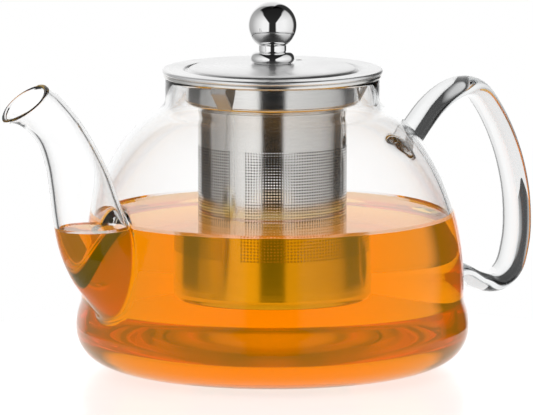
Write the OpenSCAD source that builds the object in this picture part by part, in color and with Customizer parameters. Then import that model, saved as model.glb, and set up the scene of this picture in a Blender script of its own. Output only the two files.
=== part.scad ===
// Glass teapot with a steel infuser and a steel lid.
// The pot stands on z = 0 with its axis on Z, the spout points along -X and the handle along +X.
// Every size is in millimetres.

/* [Glass pot] */
// Radius of the side wall at its widest, above the foot
body_r = 77.3; // [76:0.1:79]
// Radius of the rounded foot at its widest
foot_r = 79.3; // [78.5:0.1:81]
// Radius of the flat underside
base_r = 54; // [48:1:58]
// Outer radius of the neck
neck_r = 43.2; // [43:0.1:44]
// Height of the neck's rim
neck_top = 118; // [117:0.5:120]
// Height of the crease where the foot meets the side wall
crease_z = 28; // [26:0.5:29]
// Thickness of the blown glass wall
wall = 2.5; // [2:0.1:2.6]

/* [Spout] */
// Thickness of the spout's glass
spout_wall = 1.8; // [1.4:0.1:2]
// How far the pouring lip reaches past the mouth's oval
lip_reach = 1.4; // [0:0.1:2]

/* [Handle] */
// Thickness of the handle, measured in the pot's middle plane
handle_thickness = 8.2; // [7:0.1:9]
// Width of the handle, measured across the middle plane
handle_width = 17; // [14:0.5:18]

/* [Infuser] */
// Thickness of the infuser's steel sheet
sheet = 0.6; // [0.5:0.1:0.8]
// Outer radius of the flange that hangs on the glass rim
flange_r = 44; // [43.5:0.1:44.2]
// Thickness of the flange's folded edge
hem_h = 1.4; // [1.2:0.1:1.6]
// Outer radius of the wide collar under the flange
collar_r = 35.3; // [35:0.1:36]
// Outer radius of the perforated tube
screen_r = 30; // [29:0.1:31]
// Height of the infuser's underside
infuser_z = 29; // [25:0.5:32]
// Height of the plain end below the perforated tube: its band and its pressed base
plain_h = 16; // [12:0.5:20]
// Radius of the base's rounded edge
base_corner = 3; // [2:0.5:4]
// Number of centring lugs round the collar
lug_count = 3; // [3:1:4]
// Width of one centring lug
lug_w = 6.5; // [5:0.5:8]
// Gap between a lug and the inside of the neck
lug_gap = 0.4; // [0.3:0.1:0.6]

/* [Lid] */
// Outer radius of the lid's rolled edge
lid_r = 44.4; // [44.3:0.1:45]
// Radius at the foot of the lid's dome
dome_r = 33.8; // [33:0.1:34]
// Height of the dome's flat top
lid_top = 123.5; // [123:0.1:125]
// Radius of the steam vent
vent_r = 1.3; // [1:0.1:2]
// Gap between the lid's sleeve and the inside of the collar
sleeve_gap = 0.5; // [0.3:0.1:0.6]
// Depth of the lid's sleeve
sleeve_h = 8; // [6:0.5:10]

/* [Knob] */
// Radius of the ball
ball_r = 9.8; // [9.5:0.1:10.5]
// Height of the ball's centre
ball_z = 138.9; // [138.5:0.1:139.5]
// Radius of the bead round the knob's foot
bead_r = 8.9; // [8.5:0.1:9.5]
// Radius of the knob's neck
knob_neck_r = 5.6; // [5:0.1:6]
// Radius of the knob's screw
screw_r = 2; // [1.8:0.1:2.2]

/* [Hidden] */
$fn = 96;

// Steps along one stretch of a curved outline, and sides of a swept ring.
arc_steps = 8;
ring_sides = 24;
// Steps round a small rounded corner.
corner_steps = 6;
// How far a cutting solid runs on past what it cuts, and how far the spout's bore does.
cut_over = 1;
bore_run = 6;
// How far inside the pot the spout's glass starts, so that cutting it to the pot's surface leaves
// it whole all the way round the hole.
spout_root = 4;

// The pot's outline: [radius, height] ends and handles of cubic curves, from the base upwards.
corner_end = [foot_r - 3.3, 7.5];
foot_end = [body_r + 0.3, crease_z - 1.5];
side_start = [body_r, crease_z + 7];
neck_foot = [neck_r, neck_top - 8.5];
shoulder_end = [neck_r + 5.7, neck_top - 14.6];
corner_curve = [[base_r, 0], [base_r + 9, 0], [corner_end.x - 4, 2.5], corner_end];
foot_curve = [corner_end, [foot_r + 1.2, 13], [foot_r + 0.8, 19.5], foot_end];
crease_curve = [foot_end, [body_r - 0.3, crease_z + 1], [body_r, crease_z + 2], side_start];
shoulder_curve = [side_start, [body_r, 62], [66, 92], shoulder_end];
neck_curve = [shoulder_end, [neck_r + 3, neck_top - 12.8], [neck_r, neck_top - 12.2], neck_foot];

// The spout's sections from the pot outwards. The numbers of one section are its distance from the
// pot's axis, its height, the angle that it faces above the horizontal, its half depth in the
// middle plane, its half width and its lip's reach.
spout_sections = [
    [66, 38.5, 45, 18.5, 18, 0],
    [72.5, 45, 47, 17.5, 16.8, 0],
    [79, 51.7, 53, 16.3, 15.6, 0],
    [84.2, 60.5, 64, 14.9, 14.6, 0],
    [87.5, 71, 75, 13.6, 13.5, 0],
    [90.3, 81.5, 73, 12.4, 12.3, 0],
    [94.2, 92, 66, 10.8, 10.8, 0],
    [99.5, 102, 57, 9.6, 9.4, 0],
    [106.5, 110, 48, 9.4, 9.1, 0],
    [111.5, 113.4, 50, 10, 9.5, 0],
    [115.2, 115.4, 53, 10.7, 10.1, lip_reach]
];
section_steps = 3;

// The middle of the handle, from the shoulder over the top and back to the side: [x, z].
handle_route = [
    [62, 84], [69.5, 93.5], [76.5, 100.9], [84.2, 106], [92.1, 108.2], [98.5, 106.3],
    [104.3, 99.4], [110.2, 89], [114.9, 77], [117.9, 64], [118.8, 51.5], [117.9, 41.5],
    [114.6, 31.6], [107.5, 26.4], [98.5, 27.8], [89, 31.8], [76, 33]
];
route_steps = 2;

flange_z = neck_top;
flange_top = flange_z + hem_h;
hem_w = 2.6;
collar_foot = neck_top - 10;
tube_top = collar_foot - 3;
band_top = infuser_z + plain_h;
base_top = infuser_z + base_corner;
lug_outer_r = neck_r - wall - lug_gap;
lug_face_h = 2.8;
lug_root_r = collar_r - 1;
lug_angle = -154;

lid_sheet = 0.7;
lid_seat = flange_top;
flange_rise = 1.9;
dome_foot_z = lid_seat + flange_rise;
edge_r = 1;
groove_drop = 1.1;
groove_w = 2.4;
flat_r = 10;
vent_place = 15.3;
vent_angle = 13;
sleeve_r = collar_r - sheet - sleeve_gap;

bead_low_r = 2;
bead_high_r = 3.1;
socket_z = ball_z - 6;
screw_head_r = 4;
screw_head_h = 2.2;
washer_r = 6;
washer_h = 0.8;
thread_depth = 9;
thread_play = 1;
slot_w = 1;
slot_depth = 1;

function cubic(p, t) = pow(1 - t, 3) * p[0] + 3 * pow(1 - t, 2) * t * p[1]
    + 3 * (1 - t) * t * t * p[2] + pow(t, 3) * p[3];

// Points along a cubic curve, without its last one.
function curve(p, steps = arc_steps) = [for (i = [0 : steps - 1]) cubic(p, i / steps)];

function arc(centre, radius, from, to, steps) =
    [for (i = [0 : steps]) let (a = from + (to - from) * i / steps)
        centre + radius * [cos(a), sin(a)]];

// Catmull-Rom spline through rows of numbers, with the end rows repeated.
function row_at(rows, i) = rows[max(0, min(len(rows) - 1, i))];
function between(a, b, c, d, t) = 0.5 * (2 * b + (c - a) * t + (2 * a - 5 * b + 4 * c - d) * t * t
    + (3 * b - a - 3 * c + d) * pow(t, 3));
function spline(rows, steps) = [
    for (i = [0 : len(rows) - 2], s = [0 : steps - 1])
        between(row_at(rows, i - 1), rows[i], rows[i + 1], row_at(rows, i + 2), s / steps),
    rows[len(rows) - 1]
];

// The outline moved inwards by a distance, square to itself.
function inset(points, distance) = [
    for (i = [0 : len(points) - 1])
        let (run = row_at(points, i + 1) - row_at(points, i - 1), square = [-run.y, run.x])
            points[i] + distance * square / norm(run)
];

pot_outline = concat(
    curve(corner_curve), curve(foot_curve), curve(crease_curve),
    curve(shoulder_curve, 2 * arc_steps), curve(neck_curve), [neck_foot]
);
pot_inside = inset(pot_outline, wall);

// A ring of points for one section: its centre [x, z], the direction that it faces, its half depth,
// its half width and the reach of its lip.
function ring(centre, facing, depth, width, lip = 0) = [
    for (k = [0 : ring_sides - 1])
        let (
            a = 360 * k / ring_sides,
            along = cos(a) * depth + lip * pow(max(0, cos(a)), 6)
        )
            [centre.x + along * sin(facing), width * sin(a), centre.y - along * cos(facing)]
];

// Joins rings of points into one closed solid.
module skin(rings) {
    n = len(rings[0]);
    last = len(rings) - 1;
    sides = [
        for (i = [0 : last - 1], k = [0 : n - 1])
            let (a = i * n + k, b = i * n + (k + 1) % n)
                each [[a, b + n, b], [a, a + n, b + n]]
    ];
    start = [[for (k = [0 : n - 1]) k]];
    end = [[for (k = [n - 1 : -1 : 0]) last * n + k]];
    polyhedron(points = [for (r = rings) each r], faces = concat(sides, start, end), convexity = 6);
}

// The outside of the pot as a solid, without its hollow.
module pot_solid() {
    rotate_extrude() polygon(concat([[0, 0]], pot_outline, [[neck_r, neck_top], [0, neck_top]]));
}

// A section of the spout moved along the way that it faces.
function moved_on(section, run) = section + run * [cos(section[2]), sin(section[2]), 0, 0, 0, 0];

// The spout as a solid, thinned by a distance. It starts before its first section and may run on
// past its last.
module spout_solid(thinned, root_run, lip_run) {
    rows = spline(spout_sections, section_steps);
    before = moved_on(rows[0], -root_run);
    after = moved_on(rows[len(rows) - 1], lip_run);
    all_rows = concat([before], rows, lip_run > 0 ? [after] : []);
    rotate([0, 0, 180])
        skin([for (s = all_rows) ring([s[0], s[1]], s[2], s[3] - thinned, s[4] - thinned, s[5])]);
}

module glass_body() {
    rim_r = wall / 2;
    rim = arc([neck_r - rim_r, neck_top - rim_r], rim_r, 0, 180, arc_steps);
    inside = [for (i = [len(pot_inside) - 1 : -1 : 0]) pot_inside[i]];
    color("white", 0.3)
        difference() {
            rotate_extrude()
                polygon(concat([[0, 0]], pot_outline, rim, inside, [[0, wall]]));
            spout_solid(spout_wall, bore_run, bore_run);
        }
}

module spout() {
    color("white", 0.3)
        difference() {
            spout_solid(0, spout_root, 0);
            spout_solid(spout_wall, bore_run, bore_run);
            pot_solid();
        }
}

module handle() {
    middle = spline(handle_route, route_steps);
    color("white", 0.3)
        difference() {
            skin([
                for (i = [0 : len(middle) - 1])
                    let (run = row_at(middle, i + 1) - row_at(middle, i - 1))
                        ring(middle[i], atan2(run.y, run.x), handle_thickness / 2,
                             handle_width / 2)
            ]);
            pot_solid();
        }
}

module infuser_rim() {
    color("silver")
        rotate_extrude()
            polygon([
                [collar_r, flange_top - sheet], [flange_r - hem_w, flange_top - sheet],
                [flange_r - hem_w, flange_z], [flange_r, flange_z], [flange_r, flange_top],
                [collar_r - sheet, flange_top], [collar_r - sheet, collar_foot + sheet / 2],
                [screen_r - sheet, tube_top], [screen_r, tube_top], [collar_r, collar_foot]
            ]);
}

module infuser_lugs() {
    color("silver")
        for (i = [0 : lug_count - 1])
            rotate([0, 0, lug_angle + 360 * i / lug_count])
                intersection() {
                    difference() {
                        translate([0, lug_w / 2, 0])
                            rotate([90, 0, 0])
                                linear_extrude(lug_w)
                                    polygon([
                                        [lug_root_r, flange_z], [lug_outer_r, flange_z],
                                        [lug_outer_r, flange_z - lug_face_h],
                                        [lug_root_r, collar_foot]
                                    ]);
                        translate([0, 0, collar_foot - cut_over])
                            cylinder(r = collar_r, h = flange_z);
                    }
                    cylinder(r = lug_outer_r, h = flange_z);
                }
}

module infuser_screen() {
    color("silver")
        rotate_extrude()
            translate([screen_r - sheet, band_top])
                square([sheet, tube_top - band_top]);
}

module infuser_band() {
    color("silver")
        rotate_extrude()
            translate([screen_r - sheet, base_top])
                square([sheet, band_top - base_top]);
}

module infuser_base() {
    corner = [screen_r - base_corner, base_top];
    color("silver")
        rotate_extrude()
            polygon(concat(
                [[0, infuser_z]], arc(corner, base_corner, -90, 0, corner_steps),
                arc(corner, base_corner - sheet, 0, -90, corner_steps), [[0, infuser_z + sheet]]
            ));
}

// The lid's sheet from its centre out to the rolled edge, as its upper surface.
lid_surface = concat(
    [[0, lid_top]],
    curve([[flat_r, lid_top], [flat_r + 14, lid_top], [dome_r - 2.3, lid_top - 0.3],
           [dome_r, dome_foot_z]]),
    [[dome_r, dome_foot_z], [dome_r + groove_w / 2, dome_foot_z - groove_drop],
     [dome_r + groove_w, dome_foot_z]]
);

module lid_shell() {
    hem_r = lid_r - 2 * edge_r;
    edge = arc([lid_r - edge_r, lid_seat + edge_r], edge_r, 90, -90, arc_steps);
    under = [for (i = [len(lid_surface) - 1 : -1 : 0]) lid_surface[i] - [0, lid_sheet]];
    color("gainsboro")
        difference() {
            rotate_extrude()
                polygon(concat(
                    lid_surface, edge,
                    [[hem_r, lid_seat], [hem_r, dome_foot_z - lid_sheet]],
                    under
                ));
            cylinder(r = screw_r, h = 2 * lid_top);
            rotate([0, 0, vent_angle])
                translate([vent_place, 0, lid_top - lid_sheet - cut_over])
                    cylinder(r = vent_r, h = lid_sheet + 2 * cut_over, $fn = 32);
        }
}

module lid_sleeve() {
    // The sleeve's outer edge touches the underside of the groove's inner slope.
    slope = groove_drop / (groove_w / 2);
    sleeve_top = dome_foot_z - lid_sheet - slope * (sleeve_r - dome_r);
    color("gainsboro")
        rotate_extrude()
            translate([sleeve_r - lid_sheet, sleeve_top - sleeve_h])
                square([lid_sheet, sleeve_h]);
}

module knob_ball() {
    color("whitesmoke")
        difference() {
            translate([0, 0, ball_z]) sphere(r = ball_r);
            cylinder(r = screw_r, h = ball_z - ball_r + thread_depth);
        }
}

// A bead, more softly rounded above than below, and a neck that the ball sits on.
module knob_base() {
    bead_z = lid_top + bead_low_r;
    color("whitesmoke")
        difference() {
            rotate_extrude()
                polygon(concat(
                    [[screw_r, lid_top]],
                    arc([bead_r - bead_low_r, bead_z], bead_low_r, -90, 0, corner_steps),
                    arc([bead_r - bead_high_r, bead_z], bead_high_r, 90 / corner_steps, 90,
                        corner_steps - 1),
                    [[knob_neck_r, bead_z + bead_high_r], [knob_neck_r, socket_z],
                     [screw_r, socket_z]]
                ));
            translate([0, 0, ball_z]) sphere(r = ball_r);
        }
}

module knob_screw() {
    under_lid = lid_top - lid_sheet - washer_h;
    shank_top = ball_z - ball_r + thread_depth - thread_play;
    color("silver") {
        translate([0, 0, under_lid - screw_head_h])
            difference() {
                cylinder(r = screw_head_r, h = screw_head_h);
                translate([-screw_head_r, -slot_w / 2, -cut_over])
                    cube([2 * screw_head_r, slot_w, slot_depth + cut_over]);
            }
        translate([0, 0, under_lid]) cylinder(r = screw_r, h = shank_top - under_lid);
    }
}

module knob_washer() {
    color("silver")
        translate([0, 0, lid_top - lid_sheet - washer_h])
            difference() {
                cylinder(r = washer_r, h = washer_h);
                translate([0, 0, -cut_over]) cylinder(r = screw_r, h = washer_h + 2 * cut_over);
            }
}

glass_body();
spout();
handle();
infuser_rim();
infuser_lugs();
infuser_screen();
infuser_band();
infuser_base();
lid_shell();
lid_sleeve();
knob_ball();
knob_base();
knob_screw();
knob_washer();
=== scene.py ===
"""A glass teapot with tea in it: the looks of every piece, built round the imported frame.

Lengths below are in millimetres, and MM turns them into Blender's metres.
"""
import math

import bmesh
import bpy
import numpy as np
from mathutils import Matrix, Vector
from mathutils.bvhtree import BVHTree


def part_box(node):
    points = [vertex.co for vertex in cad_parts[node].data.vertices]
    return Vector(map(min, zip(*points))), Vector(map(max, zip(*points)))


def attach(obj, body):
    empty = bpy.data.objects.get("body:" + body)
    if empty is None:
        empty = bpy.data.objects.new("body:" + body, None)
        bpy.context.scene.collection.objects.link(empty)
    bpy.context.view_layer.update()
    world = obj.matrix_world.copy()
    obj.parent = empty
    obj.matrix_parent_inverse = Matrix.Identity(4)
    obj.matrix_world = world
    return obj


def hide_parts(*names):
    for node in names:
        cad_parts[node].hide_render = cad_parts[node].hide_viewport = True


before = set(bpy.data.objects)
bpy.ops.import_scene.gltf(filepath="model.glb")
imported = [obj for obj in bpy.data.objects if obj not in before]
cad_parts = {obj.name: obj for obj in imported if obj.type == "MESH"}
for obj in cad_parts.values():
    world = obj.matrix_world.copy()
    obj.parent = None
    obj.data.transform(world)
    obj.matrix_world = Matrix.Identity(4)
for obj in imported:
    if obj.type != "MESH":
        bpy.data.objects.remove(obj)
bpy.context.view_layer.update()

MM = 0.001


def cad_extent(node):
    """The lowest and highest corners of a CAD node, in millimetres."""
    low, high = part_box(node)
    return np.array(low) / MM, np.array(high) / MM


# ---------------------------------------------------------------- sizes that the frame gives
neck_top = cad_extent("glass_body")[1][2]
flange_r = cad_extent("infuser_rim")[1][1]
flange_top = cad_extent("infuser_rim")[1][2]
tube_top = cad_extent("infuser_screen")[1][2]
band_top = cad_extent("infuser_screen")[0][2]
base_top = cad_extent("infuser_base")[1][2]
screen_r = cad_extent("infuser_screen")[1][1]
infuser_z = cad_extent("infuser_base")[0][2]
lid_r = cad_extent("lid_shell")[1][1]
lid_seat = cad_extent("lid_shell")[0][2]
lid_top = cad_extent("lid_shell")[1][2]
sleeve_r = cad_extent("lid_sleeve")[1][1]
sleeve_foot = cad_extent("lid_sleeve")[0][2]
sleeve_top = cad_extent("lid_sleeve")[1][2]
ball_r = (cad_extent("knob_ball")[1][0] - cad_extent("knob_ball")[0][0]) / 2
ball_z = cad_extent("knob_ball")[1][2] - ball_r
bead_r = cad_extent("knob_base")[1][1]

# ---------------------------------------------------------------- the design's own sizes
BODY_R = 77.3
FOOT_R = 79.3
BASE_R = 54
NECK_R = 43.2
CREASE_Z = 28
WALL = 2.5
SPOUT_WALL = 1.8
LIP_REACH = 1.4
HANDLE_THICKNESS = 8.2
HANDLE_WIDTH = 17
SHEET = 0.6
HEM_W = 2.6
HEM_H = 1.4
COLLAR_R = 35.3
BASE_CORNER = 3
LUG_COUNT = 3
LUG_W = 6.5
LUG_GAP = 0.4
LUG_ANGLE = math.radians(-154)
LUG_FACE_H = 2.8
LID_SHEET = 0.7
FLANGE_RISE = 1.9
DOME_R = 33.8
FLAT_R = 10
GROOVE_DROP = 1.1
GROOVE_W = 2.4
EDGE_R = 1
VENT_R = 1.3
VENT_PLACE = 15.3
VENT_ANGLE = math.radians(13)
KNOB_NECK_R = 5.6
BEAD_LOW_R = 2
BEAD_HIGH_R = 3.1
SCREW_R = 2
TEA_LEVEL = 62.5

collar_foot = neck_top - 10
flange_z = flange_top - HEM_H

# Rows of the spout: distance from the axis, height, the angle that it faces above the
# horizontal, half depth, half width and the lip's reach.
SPOUT_SECTIONS = np.array([
    [66, 38.5, 45, 18.5, 18, 0],
    [72.5, 45, 47, 17.5, 16.8, 0],
    [79, 51.7, 53, 16.3, 15.6, 0],
    [84.2, 60.5, 64, 14.9, 14.6, 0],
    [87.5, 71, 75, 13.6, 13.5, 0],
    [90.3, 81.5, 73, 12.4, 12.3, 0],
    [94.2, 92, 66, 10.8, 10.8, 0],
    [99.5, 102, 57, 9.6, 9.4, 0],
    [106.5, 110, 48, 9.4, 9.1, 0],
    [111.5, 113.4, 50, 10, 9.5, 0],
    [115.2, 115.4, 53, 10.7, 10.1, LIP_REACH],
])

# The middle of the handle from the shoulder over the top and back to the side: [x, z].
HANDLE_ROUTE = np.array([
    [62, 84], [69.5, 93.5], [76.5, 100.9], [84.2, 106], [92.1, 108.2], [98.5, 106.3],
    [104.3, 99.4], [110.2, 89], [114.9, 77], [117.9, 64], [118.8, 51.5], [117.9, 41.5],
    [114.6, 31.6], [107.5, 26.4], [98.5, 27.8], [89, 31.8], [76, 33],
])

# ---------------------------------------------------------------- camera
CAMERA_AZIMUTH = math.radians(-32)
CAMERA_DISTANCE = 3.000
CAMERA_HEIGHT = 0.490
CAMERA_LENS = 507
AIM_LEFT = 0.0024
AIM_HEIGHT = 0.0648


def make_camera():
    data = bpy.data.cameras.new("photo_camera")
    data.lens = CAMERA_LENS
    data.clip_end = 20
    camera = bpy.data.objects.new("photo_camera", data)
    bpy.context.scene.collection.objects.link(camera)
    towards = Vector((math.sin(CAMERA_AZIMUTH), -math.cos(CAMERA_AZIMUTH), 0))
    right = Vector((math.cos(CAMERA_AZIMUTH), math.sin(CAMERA_AZIMUTH), 0))
    camera.location = towards * CAMERA_DISTANCE + Vector((0, 0, CAMERA_HEIGHT))
    target = Vector((0, 0, AIM_HEIGHT)) - right * AIM_LEFT
    camera.rotation_euler = (target - camera.location).to_track_quat("-Z", "Y").to_euler()
    bpy.context.scene.camera = camera


# ---------------------------------------------------------------- outlines
def cubic(p, steps):
    """Points along a cubic curve from its ends and handles, without the last one."""
    a, b, c, d = np.array(p, float)
    t = np.arange(steps)[:, None] / steps
    return (1 - t) ** 3 * a + 3 * (1 - t) ** 2 * t * b + 3 * (1 - t) * t * t * c + t ** 3 * d


def arc(centre, radius, start, end, steps):
    """Points along an arc, both ends included. The angles are in degrees."""
    a = np.radians(np.linspace(start, end, steps + 1))
    return np.array(centre) + radius * np.stack([np.cos(a), np.sin(a)], 1)


def spline(rows, t):
    """Catmull-Rom spline through rows at the places t, where row i is at t = i."""
    rows = np.asarray(rows, float)
    last = len(rows) - 1
    i = np.clip(np.floor(t).astype(int), 0, last - 1)
    f = (t - i)[:, None]
    a, b, c, d = (rows[np.clip(i + k, 0, last)] for k in (-1, 0, 1, 2))
    return 0.5 * (2 * b + (c - a) * f + (2 * a - 5 * b + 4 * c - d) * f ** 2
                  + (3 * b - a - 3 * c + d) * f ** 3)


def inset(points, distance):
    """An outline moved inwards, square to itself."""
    ends = np.vstack([points[:1], points, points[-1:]])
    run = ends[2:] - ends[:-2]
    square = np.stack([-run[:, 1], run[:, 0]], 1)
    return points + distance * square / np.linalg.norm(square, axis=1)[:, None]


def pot_outline():
    """The outside of the pot from the base to the foot of the rim: [radius, height]."""
    corner_end = [FOOT_R - 3.3, 7.5]
    foot_end = [BODY_R + 0.3, CREASE_Z - 1.5]
    side_start = [BODY_R, CREASE_Z + 7]
    shoulder_end = [NECK_R + 5.7, neck_top - 14.6]
    neck_foot = [NECK_R, neck_top - 8.5]
    return np.vstack([
        cubic([[BASE_R, 0], [BASE_R + 9, 0], [corner_end[0] - 4, 2.5], corner_end], 16),
        cubic([corner_end, [FOOT_R + 1.2, 13], [FOOT_R + 0.8, 19.5], foot_end], 14),
        cubic([foot_end, [BODY_R - 0.3, CREASE_Z + 1], [BODY_R, CREASE_Z + 2], side_start], 12),
        cubic([side_start, [BODY_R, 62], [66, 92], shoulder_end], 40),
        cubic([shoulder_end, [NECK_R + 3, neck_top - 12.8], [NECK_R, neck_top - 12.2],
               neck_foot], 14),
        [neck_foot],
    ])


POT_OUTSIDE = pot_outline()
POT_INSIDE = inset(POT_OUTSIDE, WALL)


def distance_outside_pot(points):
    """Signed distance of points from the pot's outer surface, and the surface's normals there."""
    radius = np.hypot(points[:, 0], points[:, 1])
    flat = np.stack([radius, points[:, 2]], 1)
    a = POT_OUTSIDE[:-1]
    run = POT_OUTSIDE[1:] - a
    t = np.einsum("pij,ij->pi", flat[:, None] - a, run) / (run ** 2).sum(1)
    near = a + np.clip(t, 0, 1)[..., None] * run
    gap = np.linalg.norm(flat[:, None] - near, axis=2)
    best = gap.argmin(1)
    rows = np.arange(len(points))
    outward = np.stack([run[best, 1], -run[best, 0]], 1)
    outward /= np.linalg.norm(outward, axis=1)[:, None]
    side = np.sign(((flat - near[rows, best]) * outward).sum(1))
    around = points[:, :2] / radius[:, None]
    normals = np.column_stack([around * outward[:, :1], outward[:, 1]])
    return side * gap[rows, best], normals


# ---------------------------------------------------------------- meshes
def new_object(name, points, faces):
    """A mesh object from points in millimetres."""
    mesh = bpy.data.meshes.new(name)
    mesh.from_pydata((np.asarray(points) * MM).tolist(), [], faces)
    mesh.validate()
    mesh.update()
    piece = bpy.data.objects.new(name, mesh)
    bpy.context.scene.collection.objects.link(piece)
    return piece


def smooth(piece, angle=35):
    """Smooth shading, with edges sharper than the angle kept crisp."""
    piece.data.shade_smooth()
    piece.data.set_sharp_from_angle(angle=math.radians(angle))
    return piece


def revolve(name, outline, sides=192, closed=True):
    """A solid of revolution about Z. A closed outline is a ring that stays off the axis."""
    outline = np.asarray(outline, float)
    turns = np.arange(sides) * 2 * math.pi / sides
    points = []
    rings = []
    for r, z in outline:
        if r < 1e-6:
            rings.append([len(points)] * sides)
            points.append([0, 0, z])
        else:
            rings.append(list(range(len(points), len(points) + sides)))
            points.extend(np.stack([r * np.cos(turns), r * np.sin(turns),
                                    np.full(sides, z)], 1).tolist())
    faces = []
    pairs = list(zip(rings, rings[1:] + rings[:1])) if closed else list(zip(rings, rings[1:]))
    for low, high in pairs:
        for k in range(sides):
            n = (k + 1) % sides
            corners = [low[k], low[n], high[n], high[k]]
            face = [c for i, c in enumerate(corners) if c != corners[i - 1]]
            if len(face) > 2:
                faces.append(face)
    return new_object(name, points, faces)


def loft(name, rings, wrap=False):
    """A closed solid through rings of points. With wrap, the last ring joins the first."""
    rings = np.asarray(rings, float)
    count, sides = rings.shape[:2]
    faces = []
    for i in range(count if wrap else count - 1):
        j = (i + 1) % count
        for k in range(sides):
            n = (k + 1) % sides
            faces.append([i * sides + k, i * sides + n, j * sides + n, j * sides + k])
    if not wrap:
        faces.append(list(range(sides))[::-1])
        faces.append([(count - 1) * sides + k for k in range(sides)])
    return new_object(name, rings.reshape(-1, 3), faces)


def turned_outwards(piece):
    """Makes the faces of a closed mesh point outwards."""
    mesh = bmesh.new()
    mesh.from_mesh(piece.data)
    bmesh.ops.recalc_face_normals(mesh, faces=mesh.faces)
    mesh.to_mesh(piece.data)
    mesh.free()
    return piece


def apply_modifiers(piece):
    """Turns a piece's modifiers into its mesh."""
    bpy.context.view_layer.update()
    evaluated = piece.evaluated_get(bpy.context.evaluated_depsgraph_get())
    mesh = bpy.data.meshes.new_from_object(evaluated)
    piece.modifiers.clear()
    piece.data = mesh
    return piece


def combine(piece, operation, *others):
    """Applies booleans to a piece and removes the other objects."""
    for other in others:
        modifier = piece.modifiers.new(operation, "BOOLEAN")
        modifier.operation = operation
        modifier.solver = "MANIFOLD"
        modifier.object = other
    apply_modifiers(piece)
    for other in others:
        bpy.data.objects.remove(other)
    return piece


# ---------------------------------------------------------------- the glass
SPOUT_SIDES = 96
HANDLE_SIDES = 72
# A fillet's radius, its rings, how far it dips into the pot, and the evenly spaced rings before it.
SPOUT_FILLET = 2.0
HANDLE_FILLET = 4.0
FILLET_ANGLES = np.radians([0, 12, 24, 36, 48, 60, 70])
FILLET_DEPTH = 0.6
FILLET_RUN = 90
# How far before its first section the spout's glass starts, and how far its bore does.
SPOUT_ROOT = 4.0
BORE_RUN = 5.0
# Samples along a column of points before it is cut to the pot and spaced out evenly.
SPOUT_SAMPLES = 600
ROOT_SAMPLES = 40
HANDLE_SAMPLES = 500


def section_points(rows, angles, thinned=0.0):
    """Rings of the spout for rows of sections: an array of rings, sides and coordinates."""
    facing = np.radians(rows[:, 2])[:, None]
    cosine, sine = np.cos(angles), np.sin(angles)
    lip = rows[:, 5][:, None] * np.maximum(0, cosine) ** 6
    along = (rows[:, 3][:, None] - thinned) * cosine + lip
    x = rows[:, 0][:, None] + along * np.sin(facing)
    y = (rows[:, 4][:, None] - thinned) * sine
    z = rows[:, 1][:, None] - along * np.cos(facing)
    return np.stack([-x, y, z], 2)


def moved_on(row, distance):
    """A section moved along the way that it faces."""
    facing = math.radians(row[2])
    return row + distance * np.array([math.cos(facing), math.sin(facing), 0, 0, 0, 0])


def filleted(columns, centres, radius):
    """Grid of points that follows columns inwards and flares onto the pot with a fillet.

    columns is [step, side, xyz], densely sampled from outside the pot to inside it. The result
    has as many evenly spaced rings as FILLET_RUN asks for, the fillet's rings, and one inside.
    """
    steps, sides = columns.shape[:2]
    distance, normals = distance_outside_pot(columns.reshape(-1, 3))
    distance = distance.reshape(steps, sides)
    normals = normals.reshape(steps, sides, 3)
    result = np.zeros((FILLET_RUN + len(FILLET_ANGLES) + 1, sides, 3))
    levels = radius * (1 - np.sin(FILLET_ANGLES))
    flare = radius * (1 - np.cos(FILLET_ANGLES))
    slope = math.tan(FILLET_ANGLES[-1])
    levels = np.append(levels, -FILLET_DEPTH)
    flare = np.append(flare, flare[-1] + slope * (levels[-2] - levels[-1]))
    for k in range(sides):
        outside = np.nonzero(distance[:, k] > radius)[0]
        first = outside[-1]
        falling = distance[first:, k]
        falling = np.minimum.accumulate(falling)
        places = first + np.interp(-levels, -falling, np.arange(len(falling)))
        run = np.linspace(0, places[0], FILLET_RUN, endpoint=False)
        places = np.concatenate([run, places])
        whole = np.minimum(places.astype(int), steps - 2)
        part = (places - whole)[:, None]
        column = columns[:, k]
        points = column[whole] * (1 - part) + column[whole + 1] * part
        normal = normals[whole, k]
        away = points - (centres[whole] * (1 - part) + centres[whole + 1] * part)
        away -= (away * normal).sum(1)[:, None] * normal
        away /= np.linalg.norm(away, axis=1)[:, None]
        points[FILLET_RUN:] += away[FILLET_RUN:] * flare[:, None]
        result[:, k] = points
    return result


def spout_rows(samples, end=None):
    """Sections of the spout from its root to its lip, or to the section that end gives."""
    last = len(SPOUT_SECTIONS) - 1 if end is None else end
    return spline(SPOUT_SECTIONS, np.linspace(0, last, samples))


def make_spout_shell():
    """The spout's glass as a closed tube: outside, lip, inside, and its end inside the pot."""
    angles = np.arange(SPOUT_SIDES) * 2 * math.pi / SPOUT_SIDES
    lip_r = SPOUT_WALL / 2
    rows = spout_rows(SPOUT_SAMPLES)[::-1]
    inward = [moved_on(rows[-1], -step)
              for step in np.linspace(0, SPOUT_ROOT, ROOT_SAMPLES + 1)[1:]]
    rows = np.vstack([rows, inward])
    rows[0] = moved_on(rows[0], -lip_r)
    columns = section_points(rows, angles)
    centres = np.stack([-rows[:, 0], 0 * rows[:, 0], rows[:, 1]], 1)
    outside = filleted(columns, centres, SPOUT_FILLET)
    root = section_points(rows[-1:], angles)
    lip = [section_points(moved_on(rows[0], lip_r * math.sin(a))[None], angles,
                          lip_r * (1 - math.cos(a)))[0]
           for a in np.radians(np.arange(165, 0, -15))]
    inner_rows = np.vstack([inward[-1], spout_rows(100)])
    inner_rows[-1] = moved_on(inner_rows[-1], -lip_r)
    inside = section_points(inner_rows, angles, SPOUT_WALL)
    rings = np.concatenate([inside, lip, outside, root])
    return turned_outwards(loft("spout_shell", rings, wrap=True))


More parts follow.
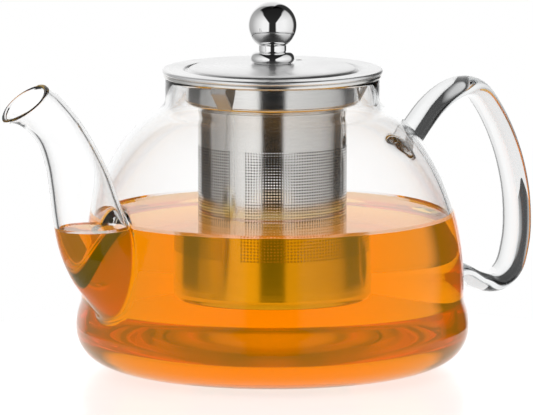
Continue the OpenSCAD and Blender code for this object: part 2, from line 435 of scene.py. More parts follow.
def make_spout_bore(thinned, name="spout_bore", reach=None):
    """The space inside the spout as a solid, up to the section that reach gives, or to the lip."""
    angles = np.arange(SPOUT_SIDES) * 2 * math.pi / SPOUT_SIDES
    rows = spout_rows(60, end=reach)
    rows = np.vstack([moved_on(rows[0], -BORE_RUN), rows])
    return turned_outwards(loft(name, section_points(rows, angles, thinned)))


def make_handle_bar():
    """The handle as a solid bar of oval section, with a fillet where each end meets the pot."""
    angles = np.arange(HANDLE_SIDES) * 2 * math.pi / HANDLE_SIDES
    last = len(HANDLE_ROUTE) - 1

    def bar(t):
        middle = spline(HANDLE_ROUTE, t)
        run = np.gradient(middle, axis=0)
        run /= np.linalg.norm(run, axis=1)[:, None]
        square = np.stack([run[:, 1], -run[:, 0]], 1)
        depth = HANDLE_THICKNESS / 2 * np.cos(angles)
        points = np.stack([
            middle[:, :1] + square[:, :1] * depth,
            np.tile(HANDLE_WIDTH / 2 * np.sin(angles), (len(t), 1)),
            middle[:, 1:] + square[:, 1:] * depth,
        ], 2)
        centres = np.stack([middle[:, 0], 0 * middle[:, 0], middle[:, 1]], 1)
        return points, centres

    top = filleted(*bar(np.linspace(last / 2, 0, HANDLE_SAMPLES)), HANDLE_FILLET)
    foot = filleted(*bar(np.linspace(last / 2, last, HANDLE_SAMPLES)), HANDLE_FILLET)
    top_end = bar(np.array([0, 0.01]))[0][:1]
    foot_end = bar(np.array([last - 0.01, last]))[0][1:]
    # The two halves meet in the middle of the route, where their rings run opposite ways round.
    flip = (-np.arange(HANDLE_SIDES) + HANDLE_SIDES // 2) % HANDLE_SIDES
    rings = np.concatenate([top_end, top[:0:-1], foot[:, flip], foot_end])
    return turned_outwards(loft("handle_bar", rings))


def make_glass():
    """One fused skin of glass: the blown body, the spout and the handle."""
    rim_r = WALL / 2
    rim = arc([NECK_R - rim_r, neck_top - rim_r], rim_r, 0, 180, 12)
    outline = np.vstack([[[0, 0]], POT_OUTSIDE, rim, POT_INSIDE[::-1], [[0, WALL]]])
    body = turned_outwards(revolve("glass_skin", outline, 256, closed=False))
    void = np.vstack([[[0, WALL]], POT_INSIDE, [[0, POT_INSIDE[-1][1]]]])
    pot_void = turned_outwards(revolve("pot_void", void, 256, closed=False))
    pot_void_too = pot_void.copy()
    bpy.context.scene.collection.objects.link(pot_void_too)
    combine(body, "DIFFERENCE", make_spout_bore(SPOUT_WALL, reach=4))
    spout = combine(make_spout_shell(), "DIFFERENCE", pot_void)
    handle = combine(make_handle_bar(), "DIFFERENCE", pot_void_too)
    return smooth(combine(body, "UNION", spout, handle), 30)


# ---------------------------------------------------------------- the tea
TEA_MENISCUS = 1.0
TEA_STEPS = [1.2, 0.3, 0.4, 0.6, 0.9, 1.4]


def make_wet_space():
    """The inside of the pot and the spout as one solid that reaches half way into the glass."""
    wall = inset(POT_OUTSIDE, WALL / 2)
    wall = wall[wall[:, 1] < TEA_LEVEL + 10]
    outline = np.vstack([[[0, WALL / 2]], wall, [[0, wall[-1][1]]]])
    space = turned_outwards(revolve("tea", outline, 256, closed=False))
    return combine(space, "UNION", make_spout_bore(SPOUT_WALL / 2, "space_in_spout", reach=5))


def mark_faces(piece, name, chosen):
    """Stores which faces are chosen, as a value that a material can read."""
    marks = piece.data.attributes.new(name, "FLOAT", "FACE")
    marks.data.foreach_set("value", np.array(chosen, float))


def mark_inner_wall(glass, space):
    """Marks the glass's faces that lie inside a space."""
    tree = BVHTree.FromObject(space, bpy.context.evaluated_depsgraph_get())
    inside = []
    for face in glass.data.polygons:
        near, normal = tree.find_nearest(face.center)[:2]
        inside.append((face.center - near).dot(normal) < 0)
    mark_faces(glass, "inner_wall", inside)


def make_tea(tea):
    """Cuts the wet space down to the tea in the pot and the spout, one body up to one level.

    It reaches half way into the glass, so that no film of air is left between the two.
    """
    high = 40
    cut = bpy.data.objects.new("above_tea", bpy.data.meshes.new("above_tea"))
    bpy.context.scene.collection.objects.link(cut)
    block = bmesh.new()
    bmesh.ops.create_cube(block, size=1)
    bmesh.ops.scale(block, vec=(0.4, 0.4, high * MM), verts=block.verts)
    bmesh.ops.translate(block, vec=(0, 0, (TEA_LEVEL + high / 2) * MM), verts=block.verts)
    block.to_mesh(cut.data)
    block.free()
    combine(tea, "DIFFERENCE", cut)
    raise_meniscus(tea)
    low = (TEA_LEVEL - TEA_MENISCUS) * MM
    mark_faces(tea, "open_surface", [face.center.z > low and abs(face.normal.z) > 0.5
                                     for face in tea.data.polygons])
    return smooth(tea, 50)


def raise_meniscus(tea):
    """Curves the tea's surface up where it meets the glass."""
    mesh = bmesh.new()
    mesh.from_mesh(tea.data)
    level = TEA_LEVEL * MM
    top = [f for f in mesh.faces if all(abs(v.co.z - level) < 1e-6 for v in f.verts)]
    inner = bmesh.ops.dissolve_faces(mesh, faces=top)["region"]
    edge = {v for f in inner for v in f.verts}
    for vertex in edge:
        vertex.co.z = level + TEA_MENISCUS * MM
    gone = 0.0
    for step in TEA_STEPS:
        bmesh.ops.inset_region(mesh, faces=inner, thickness=step * MM, use_even_offset=True)
        gone += step
        rise = TEA_MENISCUS * math.exp(-(gone - TEA_STEPS[0]) / TEA_MENISCUS)
        for vertex in {v for f in inner for v in f.verts}:
            vertex.co.z = level + rise * MM
    for vertex in {v for f in inner for v in f.verts}:
        vertex.co.z = level
    mesh.to_mesh(tea.data)
    mesh.free()


# ---------------------------------------------------------------- sheet metal
SUPPORT = 0.08


def rounded(outline, cuts, steps=5, closed=True):
    """An outline with its corners rounded: a cut is how far from the corner the curve starts.

    A point just before and just after each curve keeps the shading of the straight parts flat.
    """
    outline = np.asarray(outline, float)
    result = []
    for i, corner in enumerate(outline):
        cut = cuts[i] if np.ndim(cuts) else cuts
        ends = not closed and i in (0, len(outline) - 1)
        if ends or not cut:
            result.append(corner)
            continue
        before = outline[i - 1] - corner
        after = outline[(i + 1) % len(outline)] - corner
        before /= np.linalg.norm(before)
        after /= np.linalg.norm(after)
        start = corner + before * cut
        end = corner + after * cut
        result.append(start + before * SUPPORT)
        for t in np.linspace(0, 1, steps + 1):
            result.append((1 - t) ** 2 * start + 2 * t * (1 - t) * corner + t * t * end)
        result.append(end + after * SUPPORT)
    return np.array(result)


PINCH_R = 29.2
EDGE = 0.2


def make_infuser_rim():
    """The flange with its hemmed edge, the wide collar, and the neck that the tube is on."""
    inner_hem = flange_r - HEM_W
    pinch_z = tube_top + 1.2
    outline = [
        [COLLAR_R, flange_top - SHEET], [inner_hem, flange_top - SHEET],
        [inner_hem, flange_z], [flange_r, flange_z], [flange_r, flange_top],
        [COLLAR_R - SHEET, flange_top], [COLLAR_R - SHEET, collar_foot + 0.3],
        [PINCH_R - SHEET, pinch_z], [screen_r - SHEET, tube_top], [screen_r, tube_top],
        [PINCH_R, pinch_z], [COLLAR_R, collar_foot],
    ]
    cuts = [0.9, EDGE, EDGE, 0.6, 0.6, 1.4, 0.8, 0.5, 0, 0, 0.7, 1.2]
    rim = turned_outwards(revolve("infuser_flange_and_collar", rounded(outline, cuts), 240))
    return smooth(rim)


def make_lugs():
    """Bent straps that centre the collar in the neck, open at the sides."""
    thickness = 0.7
    outer = NECK_R - WALL - LUG_GAP
    face_foot = flange_z - LUG_FACE_H
    strap = [
        [outer, flange_z], [outer, face_foot], [COLLAR_R - 0.3, collar_foot + 0.2],
        [COLLAR_R - 0.3, collar_foot + 1.4], [outer - thickness, face_foot + 0.3],
        [outer - thickness, flange_z],
    ]
    strap = rounded(strap, [0.1, 0.8, 0.1, 0.1, 0.6, 0.1])
    half = LUG_W / 2
    points = []
    faces = []
    for i in range(LUG_COUNT):
        turn = LUG_ANGLE + 2 * math.pi * i / LUG_COUNT
        along = np.array([math.cos(turn), math.sin(turn)])
        across = np.array([-along[1], along[0]])
        start = len(points)
        for side in (-half, half):
            for r, z in strap:
                points.append([*(along * r + across * side), z])
        n = len(strap)
        faces += [[start + k, start + (k + 1) % n, start + n + (k + 1) % n, start + n + k]
                  for k in range(n)]
        faces.append([start + k for k in range(n)])
        faces.append([start + n + k for k in range(n)][::-1])
    lugs = turned_outwards(new_object("infuser_lug_straps", points, faces))
    bevel = lugs.modifiers.new("soft_edges", "BEVEL")
    bevel.width = 0.12 * MM
    bevel.segments = 2
    bevel.limit_method = "ANGLE"
    bevel.angle_limit = math.radians(50)
    apply_modifiers(lugs)
    return smooth(lugs)


HOLE_PITCH = 1.15
HOLE_R = 0.37
HOLES_FOOT = 46
HOLES_HEAD = 91
PLAIN_STRIP_ANGLE = math.radians(-149.8)
PLAIN_STRIP_WIDTH = math.radians(12.3)
PANEL_COUNT = 3
# A hole has one corner for each of the eight points round its cell.
HOLE_SIDES = 8
panel_span = 2 * math.pi / PANEL_COUNT - PLAIN_STRIP_WIDTH


def panel_start(number):
    """The angle at which a panel starts, after the plain strip before it."""
    return PLAIN_STRIP_ANGLE + PLAIN_STRIP_WIDTH / 2 + 2 * math.pi * number / PANEL_COUNT


def make_perforated_panel(number):
    """One curved panel of the tube, with a real hole in every cell."""
    columns = round(panel_span * screen_r / HOLE_PITCH)
    rows = round((HOLES_HEAD - HOLES_FOOT) / HOLE_PITCH)
    start = panel_start(number)
    ring = np.radians(np.arange(HOLE_SIDES) * 360 / HOLE_SIDES)
    # In units of cells: grid corners, middles of the cell's edges, and the holes.
    i, j = np.meshgrid(np.arange(columns + 1), np.arange(rows + 1), indexing="ij")
    corners = np.stack([i, j], 2).reshape(-1, 2).astype(float)
    i, j = np.meshgrid(np.arange(columns), np.arange(rows + 1), indexing="ij")
    levels = np.stack([i + 0.5, j], 2).reshape(-1, 2)
    i, j = np.meshgrid(np.arange(columns + 1), np.arange(rows), indexing="ij")
    uprights = np.stack([i, j + 0.5], 2).reshape(-1, 2)
    i, j = (a.ravel() for a in np.meshgrid(np.arange(columns), np.arange(rows), indexing="ij"))
    size = HOLE_R / HOLE_PITCH
    holes = np.stack([i[:, None] + 0.5 + size * np.cos(ring),
                      j[:, None] + 0.5 + size * np.sin(ring)], 2).reshape(-1, 2)
    flat = np.vstack([corners, levels, uprights, holes])
    level_at = len(corners)
    upright_at = level_at + len(levels)
    hole_at = upright_at + len(uprights)

    def corner(a, b):
        return a * (rows + 1) + b

    def level(a, b):
        return level_at + a * (rows + 1) + b

    def upright(a, b):
        return upright_at + a * rows + b

    border = np.stack([
        upright(i + 1, j), corner(i + 1, j + 1), level(i, j + 1), corner(i, j + 1),
        upright(i, j), corner(i, j), level(i, j), corner(i + 1, j),
    ], 1)
    hole = hole_at + np.arange(columns * rows)[:, None] * HOLE_SIDES + np.arange(HOLE_SIDES)
    after = np.roll(border, -1, 1)
    hole_after = np.roll(hole, -1, 1)
    outer = np.stack([hole, border, after, hole_after], 2).reshape(-1, 4)
    count = len(flat)
    inner = outer[:, ::-1] + count
    walls = np.stack([hole, hole_after, hole_after + count, hole + count], 2).reshape(-1, 4)
    a = np.arange(columns)
    b = np.arange(rows)
    loop = np.concatenate([
        np.stack([corner(a, 0), level(a, 0)], 1).ravel(),
        np.stack([corner(columns, b), upright(columns, b)], 1).ravel(),
        np.stack([corner(a + 1, rows), level(a, rows)], 1)[::-1].ravel(),
        np.stack([corner(0, b + 1), upright(0, b)], 1)[::-1].ravel(),
    ])
    loop_after = np.roll(loop, -1)
    sides = np.stack([loop, loop + count, loop_after + count, loop_after], 1)
    turn = start + flat[:, 0] / columns * panel_span
    height = HOLES_FOOT + flat[:, 1] * (HOLES_HEAD - HOLES_FOOT) / rows
    shells = [np.stack([r * np.cos(turn), r * np.sin(turn), height], 1)
              for r in (screen_r, screen_r - SHEET)]
    faces = np.vstack([outer, inner, walls, sides])
    panel = new_object(f"infuser_perforation_{number + 1}", np.vstack(shells), faces.tolist())
    return smooth(panel, 40)


def curved_block(name, start, span, low, high, inner_r, outer_r):
    """A curved plate, cut from a tube by angle."""
    steps = 48
    turns = start + np.linspace(0, span, steps + 1)
    ring = [[r * np.cos(turns), r * np.sin(turns), np.full(steps + 1, z)]
            for r, z in ((inner_r, low), (outer_r, low), (outer_r, high), (inner_r, high))]
    rings = np.array(ring).transpose(2, 0, 1)
    return turned_outwards(loft(name, rings))


def make_plain_tube():
    """The tube round the perforated panels: its ends and the plain strips between them."""
    outline = [[screen_r - SHEET, band_top], [screen_r, band_top],
               [screen_r, tube_top], [screen_r - SHEET, tube_top]]
    tube = turned_outwards(revolve("infuser_tube_plain", outline, 360))
    for number in range(PANEL_COUNT):
        window = curved_block("window", panel_start(number), panel_span, HOLES_FOOT, HOLES_HEAD,
                              screen_r - 2, screen_r + 2)
        combine(tube, "DIFFERENCE", window)
    return smooth(tube, 40)


def make_infuser_band():
    outline = [[screen_r - SHEET, base_top], [screen_r, base_top],
               [screen_r, band_top], [screen_r - SHEET, band_top]]
    return smooth(turned_outwards(revolve("infuser_plain_band", outline, 360)), 40)


def make_infuser_base():
    centre = [screen_r - BASE_CORNER, base_top]
    outline = np.vstack([
        [[0, infuser_z]], arc(centre, BASE_CORNER, -90, 0, 12),
        arc(centre, BASE_CORNER - SHEET, 0, -90, 12), [[0, infuser_z + SHEET]],
    ])
    return smooth(turned_outwards(revolve("infuser_pressed_base", outline, 240, closed=False)))


# ---------------------------------------------------------------- lid and knob
def make_lid():
    """The domed sheet with its groove, its flat flange, its rolled edge and its steam vent."""
    foot_z = lid_seat + FLANGE_RISE
    dome = cubic([[FLAT_R, lid_top], [FLAT_R + 14, lid_top], [DOME_R - 2.3, lid_top - 0.3],
                  [DOME_R, foot_z]], 32)
    groove = rounded([dome[-1], [DOME_R, foot_z], [DOME_R + GROOVE_W / 2, foot_z - GROOVE_DROP],
                      [DOME_R + GROOVE_W, foot_z], [DOME_R + GROOVE_W + 2, foot_z]],
                     [0, 0.4, 0.4, 0.4, 0], closed=False)
    surface = np.vstack([[[SCREW_R, lid_top]], dome, groove[1:]])
    edge = arc([lid_r - EDGE_R, lid_seat + EDGE_R], EDGE_R, 90, -90, 14)
    edge[0][1] = lid_seat + 2 * EDGE_R
    shoulder = cubic([[lid_r - 4.5, foot_z], [lid_r - 3, foot_z], [lid_r - 2.2, foot_z + 0.1],
                      edge[0]], 8)
    hem_r = lid_r - 2 * EDGE_R
    under = surface[::-1] - [0, LID_SHEET]
    outline = np.vstack([surface, shoulder, edge,
                         [[hem_r, lid_seat], [hem_r, foot_z - LID_SHEET]], under])
    lid = turned_outwards(revolve("lid_dome", outline, 256))
    vent = turned_outwards(revolve("vent", [[0, lid_top - 4], [VENT_R, lid_top - 4],
                                            [VENT_R, lid_top + 4], [0, lid_top + 4]],
                                   40, closed=False))
    place = Vector((VENT_PLACE * math.cos(VENT_ANGLE), VENT_PLACE * math.sin(VENT_ANGLE), 0))
    vent.data.transform(vent.matrix_world.Translation(place * MM))
    combine(lid, "DIFFERENCE", vent)
    return smooth(lid)


def make_sleeve():
    outline = [[sleeve_r - LID_SHEET, sleeve_foot], [sleeve_r, sleeve_foot],
               [sleeve_r, sleeve_top], [sleeve_r - LID_SHEET, sleeve_top]]
    sleeve = revolve("lid_inner_sleeve", rounded(outline, EDGE), 240)
    return smooth(turned_outwards(sleeve))


def make_ball():
    outline = arc([0, ball_z], ball_r, -90, 90, 72)
    outline[[0, -1], 0] = 0
    return smooth(turned_outwards(revolve("knob_polished_ball", outline, 128, closed=False)))


def make_knob_base():
    """The turned foot: a rounded bead on the lid, and a neck that runs up under the ball."""
    bead_z = lid_top + BEAD_LOW_R
    bead_top = bead_z + BEAD_HIGH_R
    contact = ball_z - math.sqrt(ball_r ** 2 - KNOB_NECK_R ** 2)
    outline = np.vstack([
        [[SCREW_R, lid_top]],
        arc([bead_r - BEAD_LOW_R, bead_z], BEAD_LOW_R, -90, 0, 12),
        arc([bead_r - BEAD_HIGH_R, bead_z], BEAD_HIGH_R, 5, 86, 18),
        [[KNOB_NECK_R, bead_top + 0.1]],
        [[KNOB_NECK_R, contact + 0.4], [SCREW_R, contact - 0.6]],
    ])
    return smooth(turned_outwards(revolve("knob_turned_foot", outline, 160)))


# ---------------------------------------------------------------- materials
class Nodes:
    """Short names for building one node tree."""

    def __init__(self, tree):
        tree.nodes.clear()
        self.tree = tree

    def add(self, kind, **values):
        node = self.tree.nodes.new(kind)
        for name, value in values.items():
            if hasattr(node, name):
                setattr(node, name, value)
            else:
                node.inputs[name.replace("_", " ")].default_value = value
        return node

    def link(self, source, target):
        self.tree.links.new(source, target)

    def math(self, operation, a, b=0.0):
        node = self.tree.nodes.new("ShaderNodeMath")
        node.operation = operation
        for socket, value in zip(node.inputs, (a, b)):
            if isinstance(value, (int, float)):
                socket.default_value = value
            else:
                self.link(value, socket)
        return node.outputs[0]

    def ramp(self, factor, stops):
        """A colour ramp of greys or colours from (position, value) pairs."""
        node = self.tree.nodes.new("ShaderNodeValToRGB")
        elements = node.color_ramp.elements
        while len(elements) < len(stops):
            elements.new(1.0)
        for element, (position, value) in zip(elements, stops):
            element.position = position
            element.color = (*value, 1) if np.ndim(value) else (value, value, value, 1)
        self.link(factor, node.inputs[0])
        return node.outputs[0]


def new_material(name):
    material = bpy.data.materials.new(name)
    material.use_nodes = True
    nodes = Nodes(material.node_tree)
    output = nodes.add("ShaderNodeOutputMaterial")
    shader = nodes.add("ShaderNodeBsdfPrincipled")
    nodes.link(shader.outputs[0], output.inputs["Surface"])
    return material, nodes, shader, output


def put_absorption(nodes, output, colour, density, glow=None):
    """Absorption through glass or liquid, and with glow, light that a liquid gives off.

    The glow stands in for scattering: along a deep path its colour nears glow / (1 - colour).
    """
    volume = nodes.add("ShaderNodeVolumeAbsorption")
    volume.inputs["Color"].default_value = (*colour, 1)
    volume.inputs["Density"].default_value = density
    result = volume.outputs[0]
    if glow:
        emission = nodes.add("ShaderNodeEmission")
        emission.inputs["Color"].default_value = (*glow, 1)
        emission.inputs["Strength"].default_value = density
        both = nodes.add("ShaderNodeAddShader")
        nodes.link(result, both.inputs[0])
        nodes.link(emission.outputs[0], both.inputs[1])
        result = both.outputs[0]
    nodes.link(result, output.inputs["Volume"])


def put_waves(nodes, shader, size, depth):
    """Slow waves in a surface, as blown glass and standing liquid have."""
    place = nodes.add("ShaderNodeTexCoord")
    noise = nodes.add("ShaderNodeTexNoise", Scale=1 / (size * MM), Detail=1.0)
    nodes.link(place.outputs["Object"], noise.inputs["Vector"])
    bump = nodes.add("ShaderNodeBump", Strength=1.0, Distance=depth * MM)
    nodes.link(noise.outputs["Fac"], bump.inputs["Height"])
    nodes.link(bump.outputs[0], shader.inputs["Normal"])


def marked(nodes, name):
    """The value that mark_faces stored under a name."""
    mark = nodes.add("ShaderNodeAttribute")
    mark.attribute_name = name
    return mark.outputs["Fac"]


GLASS_IOR = 1.47
TEA_IOR = 1.33
ALMOST_NONE = 1.0005


def glass_material():
    """Clear borosilicate glass, with slow waves and a faint grey through its thickness.

    Its inner wall bends light less below the tea's level, where tea is on the other side of it.
    """
    material, nodes, shader, output = new_material("clear_blown_glass")
    shader.inputs["Base Color"].default_value = (1, 1, 1, 1)
    shader.inputs["Transmission Weight"].default_value = 1
    shader.inputs["Roughness"].default_value = 0
    shader.inputs["IOR"].default_value = GLASS_IOR
    shader.inputs["Specular Tint"].default_value = (0.3, 0.3, 0.3, 1)
    place = nodes.add("ShaderNodeTexCoord")
    parts = nodes.add("ShaderNodeSeparateXYZ")
    nodes.link(place.outputs["Object"], parts.inputs[0])
    below = nodes.math("LESS_THAN", parts.outputs[2], (TEA_LEVEL + TEA_MENISCUS) * MM)
    wet = nodes.math("MULTIPLY", below, marked(nodes, "inner_wall"))
    change = nodes.math("MULTIPLY", wet, GLASS_IOR / TEA_IOR - GLASS_IOR)
    nodes.link(nodes.math("ADD", change, GLASS_IOR), shader.inputs["IOR"])
    put_waves(nodes, shader, 22, 0.01)
    put_absorption(nodes, output, (0.20, 0.25, 0.26), 12)
    return material


def tea_material():
    """Black tea: clear, with an orange that deepens with distance.

    Only its open surface bends light: round its sides, the glass's inner wall does that.
    """
    material, nodes, shader, output = new_material("brewed_tea")
    shader.inputs["Base Color"].default_value = (1, 1, 1, 1)
    shader.inputs["Transmission Weight"].default_value = 1
    shader.inputs["Roughness"].default_value = 0
    shader.inputs["IOR"].default_value = TEA_IOR
    shader.inputs["Specular Tint"].default_value = (0.5, 0.5, 0.5, 1)
    change = nodes.math("MULTIPLY", marked(nodes, "open_surface"), TEA_IOR - ALMOST_NONE)
    nodes.link(nodes.math("ADD", change, ALMOST_NONE), shader.inputs["IOR"])
    put_waves(nodes, shader, 30, 0.02)
    # Painted glow: the tea gives off orange light of its own, in place of light that it scatters.
    put_absorption(nodes, output, (0.968, 0.785, 0.06), 62, glow=(0.032, 0.027, 0.0002))
    return material


def brushed(name, colour, roughness, around, metallic=1.0, painted_shade_within=0.0):
    """Satin steel. Its brushing runs round the pot's axis, on walls and on flat faces alike.

    Nearer to the axis than painted_shade_within its colour is darkened with painted shade, for the
    shadowed inside of the tube.
    """
    grain = 0.35
    material, nodes, shader = new_material(name)[:3]
    place = nodes.add("ShaderNodeTexCoord")
    parts = nodes.add("ShaderNodeSeparateXYZ")
    nodes.link(place.outputs["Object"], parts.inputs[0])
    x, y, z = parts.outputs
    radius = nodes.math("SQRT", nodes.math("ADD", nodes.math("MULTIPLY", x, x),
                                           nodes.math("MULTIPLY", y, y)))
    angle = nodes.math("ARCTAN2", y, x)
    lines = nodes.add("ShaderNodeCombineXYZ")
    nodes.link(nodes.math("MULTIPLY", radius, around), lines.inputs[0])
    nodes.link(nodes.math("MULTIPLY", z, around), lines.inputs[1])
    nodes.link(nodes.math("MULTIPLY", nodes.math("COSINE", angle), 3.0), lines.inputs[2])
    brush = nodes.add("ShaderNodeTexNoise", Scale=1.0, Detail=4.0, Roughness=0.7)
    nodes.link(lines.outputs[0], brush.inputs["Vector"])
    cloud = nodes.add("ShaderNodeTexNoise", Scale=45.0, Detail=3.0)
    nodes.link(place.outputs["Object"], cloud.inputs["Vector"])
    low = tuple(c * 0.90 for c in colour)
    shade = nodes.ramp(brush.outputs["Fac"], [(0.25, low), (0.75, colour)])
    # Painted shade: inside the tube the colour is multiplied by a dark grey, for the shade that
    # falls there.
    if painted_shade_within:
        painted_inside_shade = nodes.add("ShaderNodeMix", data_type="RGBA", blend_type="MULTIPLY")
        nodes.link(nodes.math("LESS_THAN", radius, painted_shade_within * MM), painted_inside_shade.inputs["Factor"])
        nodes.link(shade, painted_inside_shade.inputs["A"])
        painted_inside_shade.inputs["B"].default_value = (0.15, 0.15, 0.15, 1)
        shade = painted_inside_shade.outputs["Result"]
    nodes.link(shade, shader.inputs["Base Color"])
    mixed = nodes.math("ADD", nodes.math("MULTIPLY", brush.outputs["Fac"], 0.6),
                       nodes.math("MULTIPLY", cloud.outputs["Fac"], 0.4))
    nodes.link(nodes.ramp(mixed, [(0.3, roughness * (1 - grain)), (0.7, roughness * (1 + grain))]),
               shader.inputs["Roughness"])
    bump = nodes.add("ShaderNodeBump", Strength=1.0, Distance=0.0015 * MM)
    nodes.link(brush.outputs["Fac"], bump.inputs["Height"])
    nodes.link(bump.outputs[0], shader.inputs["Normal"])
    shader.inputs["Metallic"].default_value = metallic
    return material


def chrome_material():
    """Mirror polish with the faintest wiping marks."""
    material, nodes, shader = new_material("mirror_chrome")[:3]
    place = nodes.add("ShaderNodeTexCoord")
    smears = nodes.add("ShaderNodeTexNoise", Scale=120.0, Detail=4.0)
    nodes.link(place.outputs["Object"], smears.inputs["Vector"])
    nodes.link(nodes.ramp(smears.outputs["Fac"], [(0.45, 0.02), (0.8, 0.06)]),
               shader.inputs["Roughness"])
    nodes.link(nodes.ramp(smears.outputs["Fac"], [(0.3, 0.84), (0.7, 0.88)]),
               shader.inputs["Base Color"])
    shader.inputs["Metallic"].default_value = 1
    return material


# ---------------------------------------------------------------- floor and studio light
FLOOR_R = 160
FLOOR_THICKNESS = 0.5
FLOOR_DROP = 0.15
FLOOR_GLOW = 0.66


def make_floor():
    """A sheet of white acrylic that is lit from below."""
    underside = -FLOOR_DROP - FLOOR_THICKNESS
    floor = revolve("floor", [[0, underside], [FLOOR_R, underside],
                              [FLOOR_R, -FLOOR_DROP], [0, -FLOOR_DROP]], 96, closed=False)
    turned_outwards(floor)
    material, nodes, shader = new_material("white_acrylic")[:3]
    place = nodes.add("ShaderNodeTexCoord")
    noise = nodes.add("ShaderNodeTexNoise", Scale=60.0, Detail=3.0)
    nodes.link(place.outputs["Object"], noise.inputs["Vector"])
    nodes.link(nodes.ramp(noise.outputs["Fac"], [(0.3, 0.22), (0.7, 0.26)]),
               shader.inputs["Roughness"])
    shader.inputs["Base Color"].default_value = (0.3, 0.3, 0.3, 1)
    shader.inputs["IOR"].default_value = 1.4
    shader.inputs["Emission Color"].default_value = (1, 1, 1, 1)
    shader.inputs["Emission Strength"].default_value = FLOOR_GLOW
    floor.data.materials.append(material)


# What is seen through the glass all round, as (degrees from the camera's side towards its right,
# brightness).
STUDIO = [
    (-180, 1.08), (-112, 1.0), (-100, 0.42), (-75, 0.58), (-52, 1.0), (-30, 1.12),
    (20, 0.88), (45, 0.78), (80, 0.66), (104, 0.45), (118, 1.0), (180, 1.08),
]
# What the lid and the knob mirror, which stand outside the glass.
MIRRORED = [
    (-180, 1.1), (-150, 1.0), (-140, 0.42), (-110, 0.5), (-75, 0.85), (-45, 1.05),
    (60, 1.05), (112, 0.8), (124, 0.04), (156, 0.04), (164, 1.1), (180, 1.1),
]
# The dark frame round the white wall behind the pot, which draws the outlines of the glass:
# stops of (squared distance from the wall's middle, brightness).
FRAME = [(0.04, 1.0), (0.30, 0.80), (0.40, 0.10), (0.86, 0.10), (0.96, 1.0)]
FRAME_FLATNESS = 0.7
# The black card in front: half its width at each height, as the ramp below reads it, and how
# far over the pot it runs.
CARD = [(0.64, 0.28), (0.86, 0.62)]
CARD_END = -0.35
CARD_BLACKNESS = 0.975
CEILING = [(0.0, 0.92), (0.5, 1.0), (0.68, 1.0), (0.85, 0.80), (1.0, 0.62)]
DIFFUSE_LIGHT = 1.25


def softened(nodes, distance, softness):
    """0 to 1 over a soft edge, where the distance is 0 in its middle."""
    share = nodes.math("ADD", nodes.math("DIVIDE", distance, softness), 0.5)
    return nodes.math("MINIMUM", nodes.math("MAXIMUM", share, 0.0), 1.0)


def make_frame(nodes, side, ahead, z):
    """Dark on a frame round the white wall behind the pot, 1 elsewhere."""
    rise = nodes.math("MULTIPLY", z, FRAME_FLATNESS)
    off = nodes.math("ADD", nodes.math("MULTIPLY", side, side),
                     nodes.math("MULTIPLY", rise, rise))
    dark = nodes.ramp(off, FRAME)
    return nodes.math("MAXIMUM", dark, softened(nodes, ahead, 0.1))


def make_card(nodes, side, ahead, z):
    """0 on a black card that stands in front of the pot and widens upwards, 1 elsewhere."""
    half = nodes.ramp(nodes.math("ADD", nodes.math("MULTIPLY", z, 0.5), 0.5), CARD)
    across = softened(nodes, nodes.math("SUBTRACT", half, nodes.math("ABSOLUTE", side)), 0.08)
    along = softened(nodes, nodes.math("SUBTRACT", ahead, CARD_END), 0.12)
    covered = nodes.math("MULTIPLY", across, along)
    return nodes.math("SUBTRACT", 1.0, nodes.math("MULTIPLY", covered, CARD_BLACKNESS))


def ring_of(nodes, share, stops):
    """Brightness round the pot from stops in degrees."""
    return nodes.ramp(share, [((a + 180) / 360, v) for a, v in stops])


def make_studio():
    """White to the camera, even light to matt surfaces, and to all else a bright ring.

    The ring has dark gaps and a soft ceiling. Mirrored rays see another ring than those through
    glass, because no single room gives both looks.
    """
    world = bpy.data.worlds.new("studio")
    bpy.context.scene.world = world
    world.use_nodes = True
    nodes = Nodes(world.node_tree)
    output = nodes.add("ShaderNodeOutputWorld")
    background = nodes.add("ShaderNodeBackground")
    nodes.link(background.outputs[0], output.inputs[0])
    place = nodes.add("ShaderNodeTexCoord")
    parts = nodes.add("ShaderNodeSeparateXYZ")
    nodes.link(place.outputs["Generated"], parts.inputs[0])
    x, y, z = parts.outputs
    # The angle is counted from the camera's side, so the ring stays put when the camera moves.
    front = math.atan2(-math.cos(CAMERA_AZIMUTH), math.sin(CAMERA_AZIMUTH))
    angle = nodes.math("SUBTRACT", nodes.math("ARCTAN2", y, x), front)
    share = nodes.math("FRACT", nodes.math("ADD", nodes.math("DIVIDE", angle, 2 * math.pi), 0.5))
    side = nodes.math("ADD", nodes.math("MULTIPLY", x, math.cos(CAMERA_AZIMUTH)),
                      nodes.math("MULTIPLY", y, math.sin(CAMERA_AZIMUTH)))
    ahead = nodes.math("SUBTRACT", nodes.math("MULTIPLY", x, math.sin(CAMERA_AZIMUTH)),
                       nodes.math("MULTIPLY", y, math.cos(CAMERA_AZIMUTH)))
    rays = nodes.add("ShaderNodeLightPath")
    mirror = rays.outputs["Is Reflection Ray"]
    through = nodes.math("MULTIPLY", ring_of(nodes, share, STUDIO),
                         make_frame(nodes, side, ahead, z))
    ring = nodes.math("ADD", nodes.math("MULTIPLY", mirror, ring_of(nodes, share, MIRRORED)),
                      nodes.math("MULTIPLY", nodes.math("SUBTRACT", 1.0, mirror), through))
    height = nodes.ramp(nodes.math("ADD", nodes.math("MULTIPLY", z, 0.5), 0.5), CEILING)
    card = make_card(nodes, side, ahead, z)
    studio = nodes.math("MULTIPLY", nodes.math("MULTIPLY", ring, height), card)
    plain = nodes.math("MAXIMUM", rays.outputs["Is Camera Ray"], rays.outputs["Is Diffuse Ray"])
    level = nodes.math("ADD", rays.outputs["Is Camera Ray"],
                       nodes.math("MULTIPLY", rays.outputs["Is Diffuse Ray"], DIFFUSE_LIGHT))
    shown = nodes.math("ADD", nodes.math("MULTIPLY", nodes.math("SUBTRACT", 1.0, plain), studio),
                       level)
    nodes.link(shown, background.inputs["Color"])


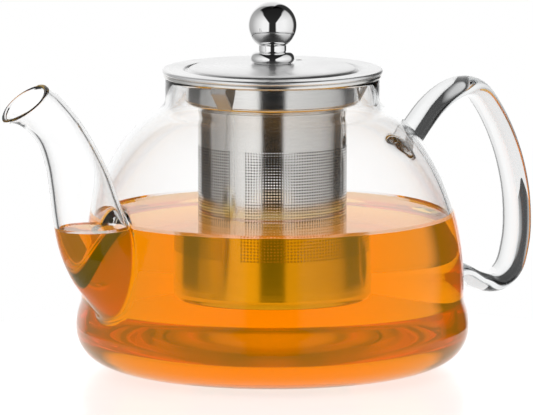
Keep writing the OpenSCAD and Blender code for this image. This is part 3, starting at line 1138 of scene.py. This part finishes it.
def set_rendering():
    scene = bpy.context.scene
    scene.view_settings.view_transform = "Standard"
    scene.cycles.max_bounces = 32
    scene.cycles.transmission_bounces = 32
    scene.cycles.glossy_bounces = 12
    scene.cycles.diffuse_bounces = 4
    scene.cycles.volume_bounces = 0
    scene.cycles.blur_glossy = 0.0


# ---------------------------------------------------------------- putting it together
def place_piece(piece, body, material, nodes=()):
    """Gives a piece its material, puts it on its body, and hides the CAD nodes that it replaces."""
    piece.data.materials.clear()
    piece.data.materials.append(material)
    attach(piece, body)
    if nodes:
        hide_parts(*nodes)


def dress_node(name, material):
    """Gives a CAD node that is shown as it is its material."""
    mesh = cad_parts[name].data
    mesh.materials.clear()
    mesh.materials.append(material)


make_camera()
make_studio()
make_floor()
set_rendering()

glass = glass_material()
infuser_steel = brushed("satin_infuser_steel", (0.80, 0.79, 0.77), 0.14, 2500)
# The perforated panels carry painted shade on their inner side.
screen_steel = brushed("perforated_infuser_steel", (0.80, 0.79, 0.77), 0.14, 2500,
                       painted_shade_within=screen_r - SHEET / 2)
lug_steel = brushed("pressed_lug_steel", (0.50, 0.50, 0.50), 0.4, 2500, metallic=0.15)
lid_steel = brushed("satin_lid_steel", (0.88, 0.88, 0.88), 0.3, 3500)
fastener_steel = brushed("machined_screw_steel", (0.72, 0.72, 0.72), 0.25, 6000)
chrome = chrome_material()

glass_skin = make_glass()
wet_space = make_wet_space()
mark_inner_wall(glass_skin, wet_space)
place_piece(glass_skin, "pot", glass, ["glass_body", "spout", "handle"])
place_piece(make_tea(wet_space), "pot", tea_material())
place_piece(make_infuser_rim(), "infuser", infuser_steel, ["infuser_rim"])
place_piece(make_lugs(), "infuser", lug_steel, nodes=["infuser_lugs"])
place_piece(make_plain_tube(), "infuser", infuser_steel, ["infuser_screen"])
for panel_number in range(PANEL_COUNT):
    place_piece(make_perforated_panel(panel_number), "infuser", screen_steel,
                nodes=["infuser_screen"])
place_piece(make_infuser_band(), "infuser", infuser_steel, ["infuser_band"])
place_piece(make_infuser_base(), "infuser", infuser_steel, ["infuser_base"])
place_piece(make_lid(), "lid", lid_steel, ["lid_shell"])
place_piece(make_sleeve(), "lid", lid_steel, ["lid_sleeve"])
place_piece(make_ball(), "lid", chrome, ["knob_ball"])
place_piece(make_knob_base(), "lid", chrome, ["knob_base"])
dress_node("knob_screw", fastener_steel)
dress_node("knob_washer", fastener_steel)
